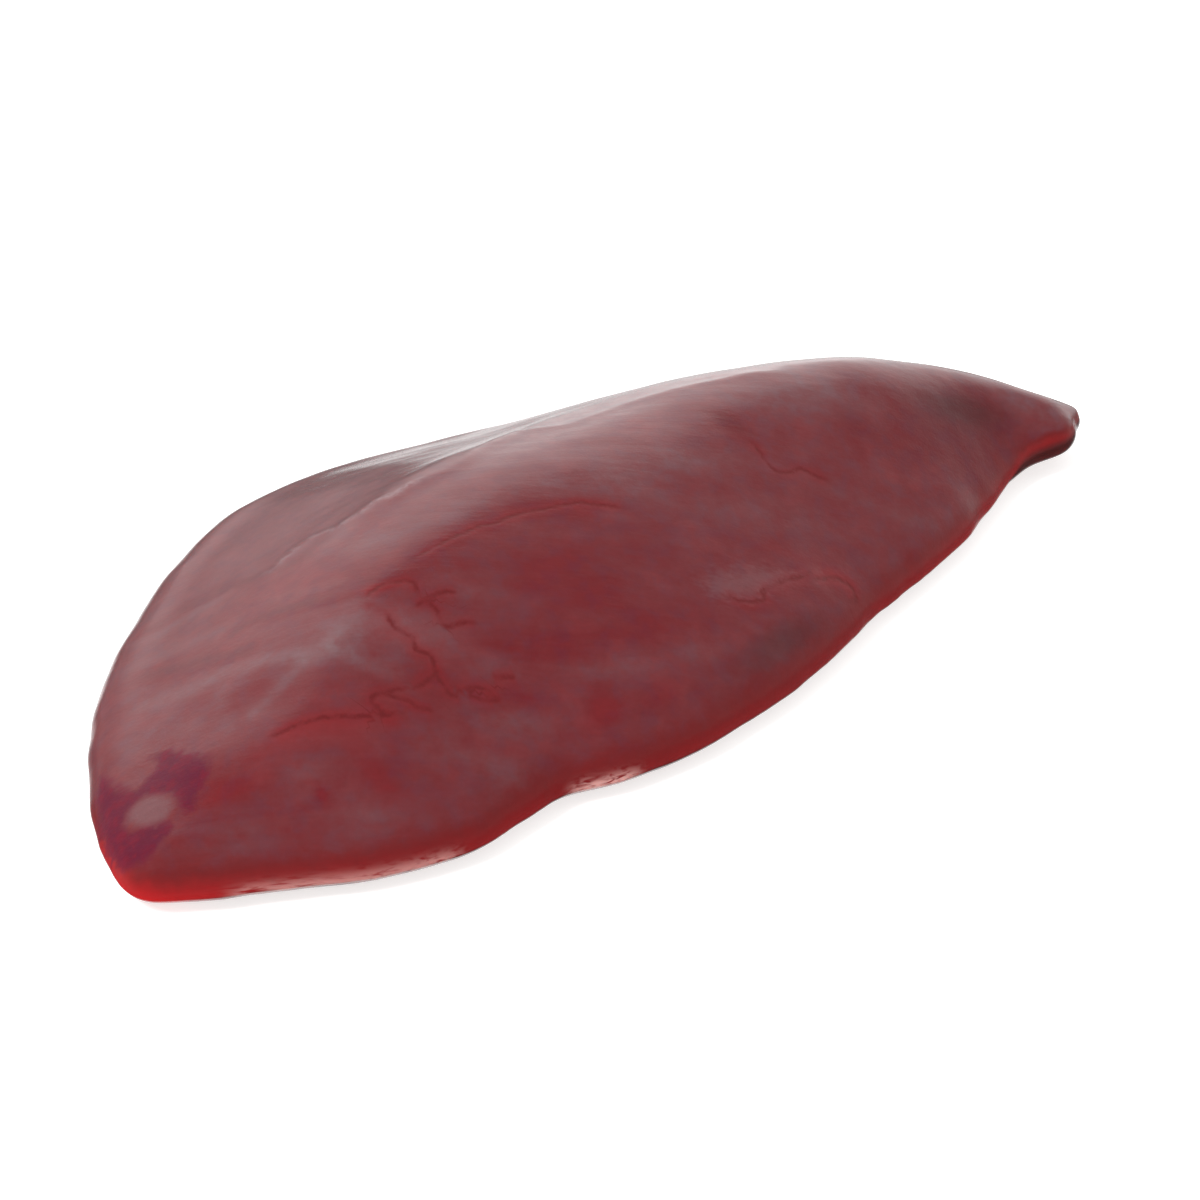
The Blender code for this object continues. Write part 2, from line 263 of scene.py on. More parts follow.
edge = np.empty(2 * len(lobe.data.edges), np.int32)
lobe.data.edges.foreach_get("vertices", edge)
edge = edge.reshape(-1, 2)
tip = smooth_step(plan[:, 0], TIP_START, TIP_FULL)
tilt_below_rim = TIP_OVERHANG * tip - normal[:, 2]
turning = (tilt_below_rim[edge] > 0).sum(1) == 1
rim_line = position[edge[turning]].mean(1)
rim_tree = KDTree(len(rim_line))
for index, point in enumerate(rim_line):
    rim_tree.insert(point, index)
rim_tree.balance()
rim_distance = np.array([rim_tree.find(point)[2] for point in position])
hem = np.zeros(count)
in_front = plan[:, 1] < HEM_BACK
for start, stop, amount in HEMS:
    stretch = smooth_step(plan[:, 0], start - HEM_FADE, start + HEM_FADE)
    stretch = stretch * (1 - smooth_step(plan[:, 0], stop - HEM_FADE, stop + HEM_FADE))
    hem = np.maximum(hem, amount * stretch)
narrowed = rim_distance * (1 + TIP_NARROWING * tip)
write("margin", narrowed + DULL_BACK * smooth_step(plan[:, 1], DULL_START, DULL_FULL))
write("hem", hem * in_front * np.exp(-((rim_distance / HEM_WIDTH) ** 2)))
at, share = np.array(BACKLIT_ALONG).T
write("backlit", np.interp(plan[:, 0], at, share))
# Painted shade: the skin that turns down under the lip is darkened in its colour
write("underside", smooth_step(tilt_below_rim, 0.0, UNDERSIDE_TILT))
swell = np.exp(-((rim_distance / SWELL_REACH) ** 2))
swell = swell * smooth_step(-plan[:, 1], SWELL_START, SWELL_FULL) * (1 - tip)
write("swell", swell * (1 - smooth_step(-normal[:, 2], 0.0, SWELL_TILT)))


# The marks of the tissue: blood has pooled under the capsule at the blunt end as a purple patch
# round a pale island, a film of fat clouds one spot, and the tissue has soft streaks and blooms,
# which are partly its own tone and partly painted light and shade. Each streak is a line and half
# its width, and each bloom is its middle, its half length, its half width and its turn in degrees.
# Then come how milky the capsule is there, with a painted veil of reflected light, and how red the
# tissue, and below zero how clear and how dark.
PURPLE_PATCH = (
    (-155.6, 0.7), (-158.3, -8.3), (-158.2, -14), (-156, -16.5), (-153, -15.8), (-150.3, -15.5),
    (-148.4, -14), (-147.6, -10), (-145.3, -14), (-145, -20.4), (-143.8, -26.7), (-145.3, -29.5),
    (-151.1, -33.2), (-155.3, -35.8), (-155.7, -33), (-154, -30), (-154, -26.6),
    (-155.2, -22.9), (-158, -19.5), (-161, -19.7), (-165, -21), (-166.5, -24.5),
    (-166, -26.9), (-161.7, -31.6), (-160.6, -34.3), (-163.2, -36.5), (-170, -36),
    (-172.4, -32.5), (-172, -26), (-166, -12.3), (-159.6, -3),
)
PALE_ISLAND = (
    (-162.6, -19.8), (-159.7, -20), (-156.8, -22.4), (-155.4, -26.9), (-156.8, -30.7),
    (-160, -31.8), (-163.4, -29), (-164.4, -24),
)
FILM_PATCH = (
    (-8.3, -58.3), (-1.3, -57.2), (9.7, -58.5), (20, -61.8), (25, -64.8), (18.5, -65.9),
    (8.8, -67.3), (-0.1, -66.7), (-6, -63),
)
STREAKS = (
    # Below the fold, a clear dark band under a milky one
    (((-88, -9), (-83, -11), (-71, -17), (-59, -16), (-44, -18), (-29, -22), (-12, -32)),
     4.0, -0.7, 0.0),
    (((-80, 3), (-72, -3), (-54, -10), (-30, -12), (-13, -22), (9, -38)), 4.5, 0.5, 0.0),
    (((-112, 10), (-109, 6), (-103, 3), (-93, -11), (-84, -17), (-76, -21)), 2.6, -1.6, -0.6),
    # The slack of the blunt end
    (((-120, 40), (-115, 38), (-106, 32), (-96, 27), (-83, 24)), 3.0, 0.7, 0.0),
    (((-116, 44), (-109, 40), (-100, 36), (-90, 24), (-80, 10)), 3.0, -1.2, -0.4),
    (((-130, 33), (-124, 29), (-115, 20), (-107, 9), (-101, -2)), 3.0, 0.7, 0.0),
    (((-130, 24), (-126, 21), (-122, 11), (-115, -2), (-110, -8)), 3.2, -1.6, -0.5),
    (((-138, 14), (-129, 1), (-120, -8), (-112, -19), (-106, -26)), 2.8, 1.1, 0.0),
    (((-100, -25), (-111, -25), (-119, -25), (-132, -26)), 2.6, 1.1, 0.0),
    (((-124, -7), (-125, -9), (-130, -16), (-133, -22), (-135, -27)), 2.4, 0.6, 0.0),
    (((-104, -26), (-101, -37), (-94, -44)), 2.8, 0.7, 0.0),
    (((-106, -27), (-99, -25), (-89, -23)), 2.8, 0.8, 0.0),
    # The curved bands of the thin end
    (((110, -55), (89, -62), (72, -57), (59, -50), (48, -40), (35, -33)), 2.4, 0.4, 0.0),
    (((-10, -20), (8, -24), (30, -30), (50, -34)), 5.0, 0.35, 0.0),
)
BLOOMS = (
    # The blunt end, from the bright star of gristle forwards
    (-105, -25, 9, 4.5, -40, 1.0, 0.0),
    (-86, -17, 8, 1.6, -40, -0.5, 0.9),
    (-96, -26, 14, 10, -30, 1.0, 0.3),
    (-87, 4, 14, 6, -50, -1.0, 0.4),
    (-103, 10, 14, 9, -50, -0.5, 0.2),
    (-141, -5, 13, 8, -70, 0.5, 0.0),
    (-148, 2, 3, 8, -10, 0.4, 0.0),
    (-88, -31, 12, 6, -60, 0.5, 0.9),
    (-121, -44, 20, 4.5, -30, 0.0, 0.9),
    (-118, -60, 11, 4, 88, -0.4, 0.5),
    (-147, -39, 12, 3.5, -25, -0.3, 0.6),
    (-130, -50, 9, 4.5, -30, 0.6, -0.2),
    (-125, -66, 12, 5, -20, 0.7, 0.0),
    (-151, -50, 9, 4, -40, 0.5, 0.0),
    (-131, -55, 1.8, 2.2, 0, -0.8, 0.7),
    # The middle
    (-42, -39, 13, 4.5, 5, -0.5, 0.5),
    (-38, -50, 14, 4.5, -15, -0.3, 0.4),
    (-32, -62, 14, 4, -20, -0.4, 0.4),
    (-56, -74, 5, 3, -10, -0.8, 0.9),
    (-39, -78, 8, 3, -10, -0.5, 0.4),
    (-53, -58, 14, 4, -30, -0.4, 0.3),
    (-74, -60, 11, 3, -50, -0.4, 0.3),
    (-64, -36, 11, 5, -35, 0.5, 0.0),
    (-79, -39, 7, 5, -40, 0.6, -0.3),
    (-46, -67, 10, 3, -20, 0.6, 0.0),
    (-75, -52, 8, 3.5, -30, 0.4, 0.0),
    (-76, -66, 12, 4, -25, 0.6, -0.2),
    (-90, -73, 8, 3.5, -25, 0.5, 0.0),
    (-99, -62, 8, 4.5, -40, 0.5, 0.0),
    (-21, -74, 8, 3, -10, 0.5, 0.0),
    # The crest, where the blooms raise and lower a painted veil of reflected light
    (10, -4, 26, 5, -10, -1.0, 0.0),
    (70, -20, 22, 8, -20, 1.6, 0.0),
    (0, -24, 26, 5, -14, 0.7, 0.0),
    # The thin end
    (4, -64, 24, 14, 0, -0.1, 0.2),
    (4, -78, 22, 4.5, 6, -0.1, -1.0),
    (43, -20, 9, 5, -70, -0.7, -0.5),
    (79, -33, 9, 6, -60, -0.6, -0.3),
    (127, -37, 15, 4, -12, -0.3, -0.7),
    (122, -36, 26, 12, -12, -0.4, -0.5),
    (150, -39, 15, 4.5, -40, 1.2, 0.0),
    (106, -46, 16, 10, -12, -0.5, -0.2),
    (17, -23, 12, 4, -20, 0.4, 0.0),
    (16, -43, 12, 4, -25, 0.5, 0.0),
    (37, -51, 11, 4, -20, 0.4, 0.0),
    (38, -68, 9, 4, -30, -0.4, 0.7),
    (25, -58, 9, 2.5, -30, -0.3, 0.4),
    (70, -68, 3, 2, -20, -1.2, 0.0),
)
# A streak is felt to this many times its own half width
STREAK_REACH = 3.0
# Beside a crease the capsule is clearer and the tissue redder
HALO_MILK, HALO_BLOOD = -0.4, 0.8
# The underside counts as this much farther out than it lies, so no stain shows through to it
OFF_THE_TOP = 20


def inside(points):
    """For every point of the skin, how far it lies inside a closed outline, in millimetres."""
    line = through(tuple(points) + (points[0],))
    start, stop = line[:-1], line[1:]
    distance = np.abs(beside(plan, line)[0])
    y = plan[:, 1:]
    crosses = (start[:, 1] > y) != (stop[:, 1] > y)
    rise = np.where(stop[:, 1] == start[:, 1], 1, stop[:, 1] - start[:, 1])
    at = start[:, 0] + (stop[:, 0] - start[:, 0]) * (y - start[:, 1]) / rise
    within = (crosses & (plan[:, :1] < at)).sum(1) % 2 == 1
    return np.where(faces_up, np.where(within, distance, -distance), -distance - OFF_THE_TOP)


for name, outline in (
    ("purple_patch", PURPLE_PATCH),
    ("pale_island", PALE_ISLAND),
    ("film_patch", FILM_PATCH),
):
    write(name, inside(outline))
# The streaks, blooms and crease halos add up the capsule's milk, partly a painted veil, and the
# tissue's tone, partly painted light and shade
milk_and_veil, tone_and_shading = HALO_MILK * crease_halo, HALO_BLOOD * crease_halo
for points, width, milkiness, redness in STREAKS:
    distance, strength = nearest_of([points], STREAK_REACH * width)
    share = strength * np.exp(-((distance / width) ** 2))
    milk_and_veil, tone_and_shading = milk_and_veil + milkiness * share, tone_and_shading + redness * share
for x, y, half_length, half_width, turn, milkiness, redness in BLOOMS:
    run = np.array((math.cos(math.radians(turn)), math.sin(math.radians(turn))))
    offset = plan - (x, y)
    u = offset @ run / half_length
    v = offset @ np.array((-run[1], run[0])) / half_width
    share = faces_up * np.exp(-(u**2 + v**2))
    milk_and_veil, tone_and_shading = milk_and_veil + milkiness * share, tone_and_shading + redness * share
write("milk_and_veil", milk_and_veil)
write("tone_and_shading", tone_and_shading)


# The relief of the capsule: the fold stands up, the creases are pressed in, slack skin quilts
# over the lobules below and wrinkles along its pull, and the lip is nicked and puckered.
RELIEF_SIZES = {
    "Rounding Loss": 0.22,
    "Rim Loss": 0.45,
    "Fold Height": 0.28,
    "Fold Front": 3.0,
    "Fold Back": 2.2,
    "Crease Depth": 0.06,
    "Crease Width": 0.7,
    "Quilting Depth": 0.5,
    "Quilting Size": 17.0,
    "Wrinkle Depth": 0.12,
    "Wrinkle Length": 24.0,
    "Wrinkle Width": 3.4,
    "Wrinkle Turn": math.radians(-38),
    "Pucker Depth": 0.4,
    "Pucker Size": 8.0,
    "Pucker Reach": 4.0,
    "Seed": 4.0,
}


def add(tree, kind, sockets, **settings):
    """Adds a node with its settings. Each socket is given a value, or a link from another node's
    socket or from its first output in use."""
    node = tree.nodes.new(kind)
    for name, value in settings.items():
        setattr(node, name, value)
    for name, value in sockets.items():
        if isinstance(value, bpy.types.Node):
            value = next(output for output in value.outputs if output.enabled)
        if isinstance(value, bpy.types.NodeSocket):
            tree.links.new(value, node.inputs[name])
        else:
            node.inputs[name].default_value = value
    return node


relief = bpy.data.node_groups.new("capsule_relief", "GeometryNodeTree")
relief.interface.new_socket("Geometry", in_out="INPUT", socket_type="NodeSocketGeometry")
relief.interface.new_socket("Finish", in_out="INPUT", socket_type="NodeSocketMaterial")
for name in RELIEF_SIZES:
    relief.interface.new_socket(name, in_out="INPUT", socket_type="NodeSocketFloat")
relief.interface.new_socket("Geometry", in_out="OUTPUT", socket_type="NodeSocketGeometry")
given = add(relief, "NodeGroupInput", {}).outputs
on_skin = {
    name: add(relief, "GeometryNodeInputNamedAttribute", {"Name": name})
    for name in ("fold", "fold_strength", "crease", "crease_strength", "side_crease",
                 "side_crease_strength", "margin", "swell")
}
spot = add(relief, "GeometryNodeInputPosition", {})
millimetres = add(relief, "ShaderNodeVectorMath", {0: spot, "Scale": 1 / MM}, operation="SCALE")


def hump(distance, width, height):
    """A rounded ridge of the height given over a distance, or a furrow below zero."""
    ratio = add(relief, "ShaderNodeMath", {0: distance, 1: width}, operation="DIVIDE")
    square = add(relief, "ShaderNodeMath", {0: ratio, 1: ratio}, operation="MULTIPLY")
    fall = add(relief, "ShaderNodeMath", {0: square, 1: -1.0}, operation="MULTIPLY")
    share = add(relief, "ShaderNodeMath", {0: fall}, operation="EXPONENT")
    return add(relief, "ShaderNodeMath", {0: share, 1: height}, operation="MULTIPLY")


def hollows(size, depth, where=millimetres):
    """Hollows of the size and depth given, pressed in from the surface."""
    scale = add(relief, "ShaderNodeMath", {0: 1.0, 1: size}, operation="DIVIDE")
    texture = add(
        relief, "ShaderNodeTexNoise",
        {"Vector": where, "W": given["Seed"], "Detail": 1.0, "Scale": scale},
        noise_dimensions="4D",
    )
    deep = add(relief, "ShaderNodeMath", {0: texture, 1: depth}, operation="MULTIPLY")
    return add(relief, "ShaderNodeMath", {0: deep, 1: -1.0}, operation="MULTIPLY")


behind = add(relief, "ShaderNodeMath", {0: on_skin["fold"], 1: 0.0}, operation="GREATER_THAN")
narrower = add(
    relief, "ShaderNodeMath", {0: given["Fold Back"], 1: given["Fold Front"]}, operation="SUBTRACT"
)
fold_width = add(
    relief, "ShaderNodeMath", {0: behind, 1: narrower, 2: given["Fold Front"]},
    operation="MULTIPLY_ADD",
)
fold = hump(on_skin["fold"], fold_width, given["Fold Height"])
fold = add(relief, "ShaderNodeMath", {0: fold, 1: on_skin["fold_strength"]}, operation="MULTIPLY")
furrows = []
for name in ("crease", "side_crease"):
    furrow = hump(on_skin[name], given["Crease Width"], given["Crease Depth"])
    furrow = add(
        relief, "ShaderNodeMath", {0: furrow, 1: on_skin[name + "_strength"]}, operation="MULTIPLY"
    )
    furrows.append(add(relief, "ShaderNodeMath", {0: furrow, 1: -1.0}, operation="MULTIPLY"))

against = add(
    relief, "ShaderNodeMath", {0: given["Wrinkle Turn"], 1: -1.0}, operation="MULTIPLY"
)
turned = add(
    relief, "ShaderNodeVectorRotate", {"Vector": millimetres, "Angle": against},
    rotation_type="Z_AXIS",
)
narrowing = add(
    relief, "ShaderNodeMath", {0: given["Wrinkle Width"], 1: given["Wrinkle Length"]},
    operation="DIVIDE",
)
stretch = add(relief, "ShaderNodeCombineXYZ", {"X": narrowing, "Y": 1.0, "Z": 1.0})
drawn_out = add(relief, "ShaderNodeVectorMath", {0: turned, 1: stretch}, operation="MULTIPLY")
wrinkles = hollows(given["Wrinkle Width"], given["Wrinkle Depth"], drawn_out)
quilting = hollows(given["Quilting Size"], given["Quilting Depth"])
puckering = hump(on_skin["margin"], given["Pucker Reach"], given["Pucker Depth"])
pucker = hollows(given["Pucker Size"], puckering)

regained = add(
    relief, "ShaderNodeMath",
    {0: on_skin["swell"], 1: given["Rim Loss"], 2: given["Rounding Loss"]},
    operation="MULTIPLY_ADD",
)
height = fold
for part in (*furrows, wrinkles, quilting, pucker, regained):
    height = add(relief, "ShaderNodeMath", {0: height, 1: part}, operation="ADD")
height = add(relief, "ShaderNodeMath", {0: height, 1: MM}, operation="MULTIPLY")
outward = add(relief, "GeometryNodeInputNormal", {})
shift = add(relief, "ShaderNodeVectorMath", {0: outward, "Scale": height}, operation="SCALE")
shaped = add(relief, "GeometryNodeSetPosition", {"Geometry": given["Geometry"], "Offset": shift})
whole = add(relief, "GeometryNodeRealizeInstances", {"Geometry": shaped})
dressed = add(
    relief, "GeometryNodeSetMaterial", {"Geometry": whole, "Material": given["Finish"]}
)
add(relief, "NodeGroupOutput", {"Geometry": dressed})


# The finish: fresh liver under its serous capsule. The tissue is deep maroon with duller and
# brighter blooms, partly painted light and shade, the capsule lays a thin milky mauve over it,
# partly a painted veil of reflected light, and the wet film on top mirrors the window as a soft
# bright veil wherever the skin turns away.
def colour(code):
    """An sRGB hex value as linear red, green and blue."""
    parts = [int(code[i : i + 2], 16) / 255 for i in (0, 2, 4)]
    return tuple(c / 12.92 if c <= 0.04045 else ((c + 0.055) / 1.055) ** 2.4 for c in parts) + (1,)


MAROON = colour("7a1820")
PLUM = colour("6c192f")
DARK_MAROON = colour("54141b")
BRICK_RED = colour("901f24")
CLEAR_RED = colour("7c1417")
GLOWING_RED = colour("c0161a")
UNDERSIDE_SHADE = colour("4c1414")
CREASE_SHADE_RED = colour("700c12")
BLOOD_PURPLE = colour("681632")
CAPSULE_AND_VEIL_MAUVE = colour("8a6e72")
FAT_WHITE = colour("90767a")
ISLAND_ROSE = colour("7e4c50")
CLOT_CRIMSON = colour("84182c")
FOLD_HIGHLIGHT_WHITE = colour("a89498")
HEM_PINK_AND_HIGHLIGHT = colour("e0a8a2")

# Each cloud of the pattern: its size in millimetres, its detail, and how far it is warped
CLOUDS = {
    "patches": (13.0, 4.0, 0.8),
    "flecks": (5.0, 3.0, 0.3),
    "lobules": (1.5, 2.0, 0.0),
    "pores": (0.7, 2.0, 0.0),
    "ragged": (3.0, 4.0, 0.4),
}
# Streaks drawn out along the pull of the skin: length and width in millimetres
STREAK_CLOUDS = {"wisps": (40.0, 5.0), "fibres": (9.0, 1.2)}
STREAK_DETAIL, STREAK_WARP = 3.0, 0.5
PULL_TURN = math.radians(-38)
# The width of the clear red margin, how softly it ends, and where light starts to come through
RED_MARGIN, MARGIN_SOFTNESS = 9.5, 3.5
GLOW_START, GLOW_FULL = 1.0, 8.0
# Half the width of a crease's dark line, which is painted shade along the crease, how far it
# strays, and how dark it is from end to end
CREASE_LINE = 1.15
CREASE_WANDER = 1.1
CREASE_SHARES = (0.3, 0.85)
# How milky the capsule is as a rule, and how much each cloud and each stain adds to that; the milky
# mauve is partly the capsule's own and partly a painted veil of reflected light
FILM_USUAL = 0.09
FILM_CLOUDS = {"patches": 0.20, "wisps": 0.20, "flecks": 0.12}
MILK_GAIN = 0.2
CURDLING = (0.6, 1.4)
# Where more light than this comes through the lip, it loses the painted shade of its underside
LIT_THROUGH = 0.5
# How much of the film of water the purple patch has lost
PATCH_DRYNESS = 0.75
# How much the grain of the tissue darkens and lightens it, and how rough it is under the film
GRAIN_DEPTH = 0.15
TISSUE_ROUGHNESS = (0.32, 0.42)

finish = bpy.data.materials.new("wet_liver_capsule")
finish.use_nodes = True
tree = finish.node_tree
shader = tree.nodes["Principled BSDF"]
place = add(tree, "ShaderNodeTexCoord", {}).outputs["Object"]

cloud = {}
for seed, (name, (size, detail, warp)) in enumerate(CLOUDS.items(), 1):
    cloud[name] = add(
        tree, "ShaderNodeTexNoise",
        {"Vector": place, "W": seed, "Scale": 1 / (size * MM), "Detail": detail,
         "Distortion": warp},
        noise_dimensions="4D",
    )
for seed, (name, (length, width)) in enumerate(STREAK_CLOUDS.items(), len(CLOUDS) + 1):
    along_pull = add(
        tree, "ShaderNodeMapping",
        {"Vector": place, "Rotation": (0, 0, PULL_TURN),
         "Scale": (length * MM, width * MM, width * MM)},
        vector_type="TEXTURE",
    )
    cloud[name] = add(
        tree, "ShaderNodeTexNoise",
        {"Vector": along_pull, "W": seed, "Scale": 1.0, "Detail": STREAK_DETAIL,
         "Distortion": STREAK_WARP},
        noise_dimensions="4D",
    )
here = {
    name: add(tree, "ShaderNodeAttribute", {}, attribute_name=name).outputs["Fac"]
    for name in (
        "fold_highlight", "crease", "crease_strength", "side_crease", "side_crease_strength", "margin",
        "hem", "backlit", "underside", "purple_patch", "pale_island", "film_patch", "milk_and_veil",
        "tone_and_shading",
    )
}

# Each outline or distance is made uneven by a cloud, by up to so many millimetres
for name, source, amount in (
    ("margin", "flecks", 4.0),
    ("purple_patch", "ragged", 6.0),
    ("pale_island", "ragged", 3.0),
    ("film_patch", "fibres", 7.0),
    ("crease", "lobules", CREASE_WANDER),
    ("side_crease", "lobules", -CREASE_WANDER),
):
    here[name] = add(
        tree, "ShaderNodeMath", {0: cloud[source], 1: amount, 2: here[name]},
        operation="MULTIPLY_ADD",
    )

# The share of each layer of colour: what it goes by, from where it starts to where it is full,
# and how much of it there is in full
amount = {}
for name, source, start, full, most in (
    ("brick", cloud["patches"], 0.48, 0.7, 0.3),
    ("plum", cloud["flecks"], 0.42, 0.68, 0.5),
    ("red", here["tone_and_shading"], 0.0, 1.4, 0.7),
    ("dark", here["tone_and_shading"], 0.0, -1.2, 0.8),
    ("clear", here["margin"], RED_MARGIN + MARGIN_SOFTNESS, RED_MARGIN - MARGIN_SOFTNESS, 1.0),
    ("glow", here["margin"], RED_MARGIN - GLOW_START, RED_MARGIN - GLOW_FULL, 0.9),
    ("purple", here["purple_patch"], 1.0, 4.2, 0.9),
    ("threads", cloud["ragged"], 0.42, 0.66, 0.6),
    ("island", here["pale_island"], 0.0, 3.4, 0.85),
    ("fat", here["film_patch"], 1.0, 8.0, 0.26),
    ("speckle", cloud["fibres"], 0.32, 0.56, 0.92),
    ("gleam", cloud["ragged"], 0.36, 0.60, 0.3),
):
    amount[name] = add(
        tree, "ShaderNodeMapRange",
        {"Value": source, "From Min": start, "From Max": full, "To Max": most},
        interpolation_type="SMOOTHSTEP",
    )

curdling = add(
    tree, "ShaderNodeMapRange",
    {"Value": cloud["flecks"], "From Min": 0.3, "From Max": 0.7, "To Min": CURDLING[0],
     "To Max": CURDLING[1]},
)
# The capsule's milky mauve, partly a painted veil of reflected light, curdled by a cloud and
# cleared at the margin
milk_and_veil = add(tree, "ShaderNodeMath", {0: here["milk_and_veil"], 1: curdling}, operation="MULTIPLY")
capsule_and_veil = FILM_USUAL - 0.5 * sum(FILM_CLOUDS.values())
for source, gain in (
    *((cloud[name], gain) for name, gain in FILM_CLOUDS.items()), (milk_and_veil, MILK_GAIN),
):
    capsule_and_veil = add(tree, "ShaderNodeMath", {0: source, 1: gain, 2: capsule_and_veil}, operation="MULTIPLY_ADD")
unclear = add(tree, "ShaderNodeMath", {0: 1.0, 1: amount["clear"]}, operation="SUBTRACT")
capsule_and_veil = add(tree, "ShaderNodeMath", {0: capsule_and_veil, 1: unclear}, operation="MULTIPLY", use_clamp=True)

# Painted shade: a dark red line along each crease, where the skin is pressed in
line = 0.0
for name in ("crease", "side_crease"):
    middle = 0.5 * CREASE_WANDER * (-1 if name == "crease" else 1)
    centred = add(tree, "ShaderNodeMath", {0: here[name], 1: middle}, operation="ADD")
    off = add(tree, "ShaderNodeMath", {0: centred}, operation="ABSOLUTE")
    stroke = add(
        tree, "ShaderNodeMapRange", {"Value": off, "From Min": CREASE_LINE, "From Max": 0.0},
        interpolation_type="SMOOTHSTEP",
    )
    stroke = add(
        tree, "ShaderNodeMath", {0: stroke, 1: here[name + "_strength"]}, operation="MULTIPLY"
    )
    line = add(tree, "ShaderNodeMath", {0: line, 1: stroke}, operation="MAXIMUM")
broken = add(
    tree, "ShaderNodeMapRange",
    {"Value": cloud["ragged"], "From Min": 0.35, "From Max": 0.56, "To Min": CREASE_SHARES[0],
     "To Max": CREASE_SHARES[1]},
    interpolation_type="SMOOTHSTEP",
)
line = add(tree, "ShaderNodeMath", {0: line, 1: broken}, operation="MULTIPLY")

# Painted light: the thin lip is coloured a glowing red where light comes through it
glow = add(tree, "ShaderNodeMath", {0: amount["glow"], 1: here["backlit"]}, operation="MULTIPLY")
# The painted fold highlight, broken up by a cloud
gleam = add(
    tree, "ShaderNodeMath", {0: amount["gleam"], 1: here["fold_highlight"]}, operation="MULTIPLY"
)
# Pale membrane and painted wet highlight, speckled along the hem
hem_and_highlight_share = add(
    tree, "ShaderNodeMath", {0: amount["speckle"], 1: here["hem"]}, operation="MULTIPLY"
)
# Painted shade on the underside, lifted where light comes through the lip and along the hem
shaded = here["underside"]
slope = 1 / (1 - LIT_THROUGH)
for name in ("backlit", "hem"):
    rest = add(
        tree, "ShaderNodeMath", {0: here[name], 1: -slope, 2: slope}, operation="MULTIPLY_ADD",
        use_clamp=True,
    )
    shaded = add(tree, "ShaderNodeMath", {0: shaded, 1: rest}, operation="MULTIPLY")
threads = add(
    tree, "ShaderNodeMath", {0: amount["threads"], 1: amount["purple"]}, operation="MULTIPLY"
)
tissue = MAROON
for share, layer in (
    (amount["brick"], BRICK_RED),
    (amount["plum"], PLUM),
    (amount["red"], BRICK_RED),
    (amount["dark"], DARK_MAROON),
    (amount["clear"], CLEAR_RED),
    (capsule_and_veil, CAPSULE_AND_VEIL_MAUVE),
    (glow, GLOWING_RED),
    (shaded, UNDERSIDE_SHADE),
    (amount["purple"], BLOOD_PURPLE),
    (threads, CLOT_CRIMSON),
    (amount["island"], ISLAND_ROSE),
    (amount["fat"], FAT_WHITE),
    (gleam, FOLD_HIGHLIGHT_WHITE),
    (line, CREASE_SHADE_RED),
    (hem_and_highlight_share, HEM_PINK_AND_HIGHLIGHT),
):
    tissue = add(
        tree, "ShaderNodeMix", {"Factor": share, 6: tissue, 7: layer}, data_type="RGBA"
    )
grain = 1 - GRAIN_DEPTH
for source in (cloud["fibres"], cloud["lobules"]):
    grain = add(
        tree, "ShaderNodeMath", {0: source, 1: GRAIN_DEPTH, 2: grain}, operation="MULTIPLY_ADD"
    )
tissue = add(tree, "ShaderNodeHueSaturation", {"Color": tissue, "Value": grain})

# The finest relief of the capsule, in millimetres
surface = 0.0
for source, depth in ((cloud["pores"], 0.03), (cloud["fibres"], 0.04), (line, -0.02)):
    surface = add(
        tree, "ShaderNodeMath", {0: source, 1: depth, 2: surface}, operation="MULTIPLY_ADD"
    )
bump = add(tree, "ShaderNodeBump", {"Strength": 1.0, "Distance": MM, "Height": surface})
roughness = add(
    tree, "ShaderNodeMapRange",
    {"Value": cloud["flecks"], "From Min": 0.3, "From Max": 0.7, "To Min": TISSUE_ROUGHNESS[0],
     "To Max": TISSUE_ROUGHNESS[1]},
)
wetness = add(
    tree, "ShaderNodeMath", {0: amount["purple"], 1: -PATCH_DRYNESS, 2: 1.0},
    operation="MULTIPLY_ADD",
)

for name, setting in (
    ("Base Color", tissue),
    ("Roughness", roughness),
    ("IOR", 1.38),
    ("Specular IOR Level", 0.2),
    ("Normal", bump),
    ("Subsurface Weight", 0.3),
    ("Subsurface Radius", (1.0, 0.22, 0.18)),
    ("Subsurface Scale", 3.0 * MM),
    ("Coat Weight", wetness),
    ("Coat Roughness", 0.12),
    ("Coat IOR", 1.35),
    ("Coat Normal", bump),
):
    if isinstance(setting, bpy.types.Node):
        setting = next(output for output in setting.outputs if output.enabled)
        tree.links.new(setting, shader.inputs[name])
    else:
        shader.inputs[name].default_value = setting

capsule = lobe.modifiers.new("capsule_relief", "NODES")
capsule.node_group = relief
inputs = {
    item.name: item.identifier
    for item in relief.interface.items_tree
    if item.in_out == "INPUT"
}
for name, size in RELIEF_SIZES.items():
    capsule[inputs[name]] = size
capsule[inputs["Finish"]] = finish
made_plain(lobe)
lobe.data.shade_smooth()
lobe.data.name = "liver_lobe"
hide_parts("liver")
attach(lobe, "root")


# The table: a white acrylic sheet lit from below, as food is photographed on, so it stays white
# right up to the lobe. The lobe's wet skin mirrors the studio and not the sheet.
TABLE_SIZE = 6.0
TABLE_WHITE = colour("f4f3f2")
TABLE_GLOW = 0.8

